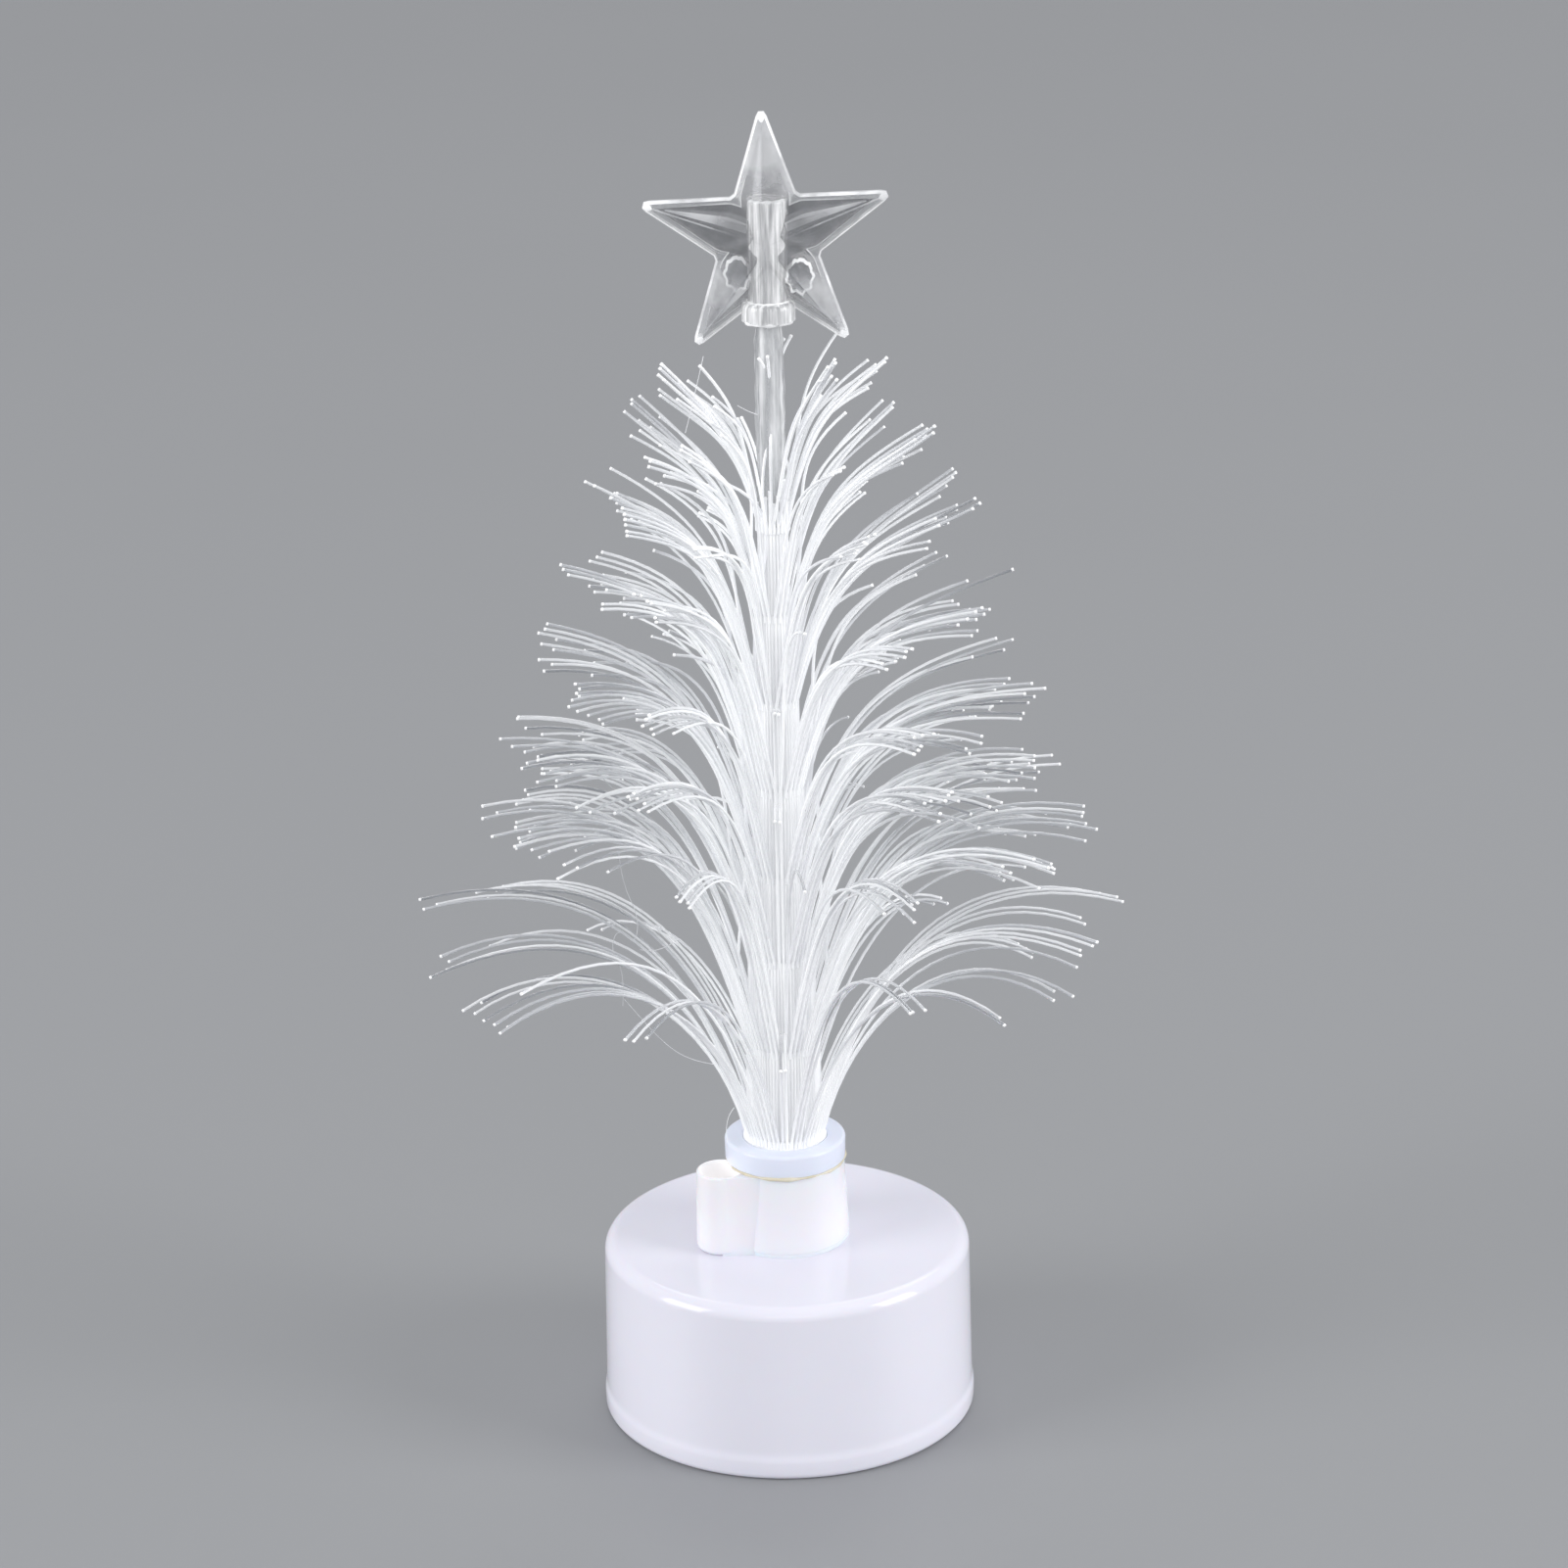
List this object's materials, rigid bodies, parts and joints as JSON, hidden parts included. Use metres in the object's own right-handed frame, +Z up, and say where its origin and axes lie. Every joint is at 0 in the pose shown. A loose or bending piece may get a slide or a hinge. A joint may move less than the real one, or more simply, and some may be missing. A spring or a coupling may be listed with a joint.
{
  "type": "fiber optic christmas tree",
  "caption": "Small fibre optic christmas tree for a table: clear fibres in tiers on a round battery base, a clear star on a stem, a side socket, and a slide switch underneath.",
  "frame": {"origin": "centre of the foot, on the surface that the lamp stands on", "axes": "+Z up along the axis of the base and the stem, -Y the front where the star faces, +X to the right seen from the front"},
  "size_m": [0.0759, 0.0494, 0.1414],
  "materials": {
    "housing_plastic": "glossy cool white moulded plastic",
    "cover_plastic": "white moulded plastic with a fine grain",
    "holder_plastic": "glossy warm white moulded plastic",
    "collar_plastic": "translucent bluish plastic",
    "fibre": "clear drawn plastic fibres, white where they are packed together",
    "stem_plastic": "clear shrink tube",
    "star_plastic": "clear moulded plastic",
    "glue": "set clear glue, slightly yellow",
    "cell_steel": "nickelled steel can",
    "screw_steel": "plated steel screw",
    "contact_metal": "nickelled spring metal",
    "board": "green laminate",
    "lamp_resin": "clear cast resin",
    "terminal_resin": "brown laminate",
    "knob_plastic": "black plastic",
    "lead_red": "red insulation",
    "lead_black": "black insulation"
  },
  "bodies": {
    "lamp_body": {"base_housing": "housing_plastic", "bottom_cover": "cover_plastic", "button_cell_1": "cell_steel", "button_cell_2": "cell_steel", "button_cell_3": "cell_steel", "circuit_board": "board", "contact_leaf": "contact_metal", "contact_plate": "contact_metal", "fibre_bundle": "fibre", "fibre_collar": "collar_plastic", "fibre_holder": "holder_plastic", "fibre_tier_1": "fibre", "fibre_tier_2": "fibre", "fibre_tier_3": "fibre", "fibre_tier_4": "fibre", "fibre_tier_5": "fibre", "fibre_tier_6": "fibre", "fibre_tier_7": "fibre", "fibre_tier_8": "fibre", "lamp": "lamp_resin", "lamp_leads": "contact_metal", "lead_black": "lead_black", "lead_red": "lead_red", "lead_switch": "lead_red", "star_back": "star_plastic", "star_front": "star_plastic", "star_glue": "glue", "star_socket": "star_plastic", "stem_fibres": "fibre", "stem_tube": "stem_plastic", "switch_shell": "contact_metal", "switch_terminals": "terminal_resin"},
    "door": {"battery_door": "cover_plastic", "door_screws": "screw_steel"},
    "switch": {"switch_knob": "knob_plastic"}
  },
  "joints": [
    {"name": "door_lift", "type": "slide", "parent": "lamp_body", "child": "door", "axis": [0, 0, -1], "range_m": [0, 0.012]},
    {"name": "switch_slide", "type": "slide", "parent": "lamp_body", "child": "switch", "axis": [1, 0, 0], "range_m": [0, 0.002]}
  ]
}
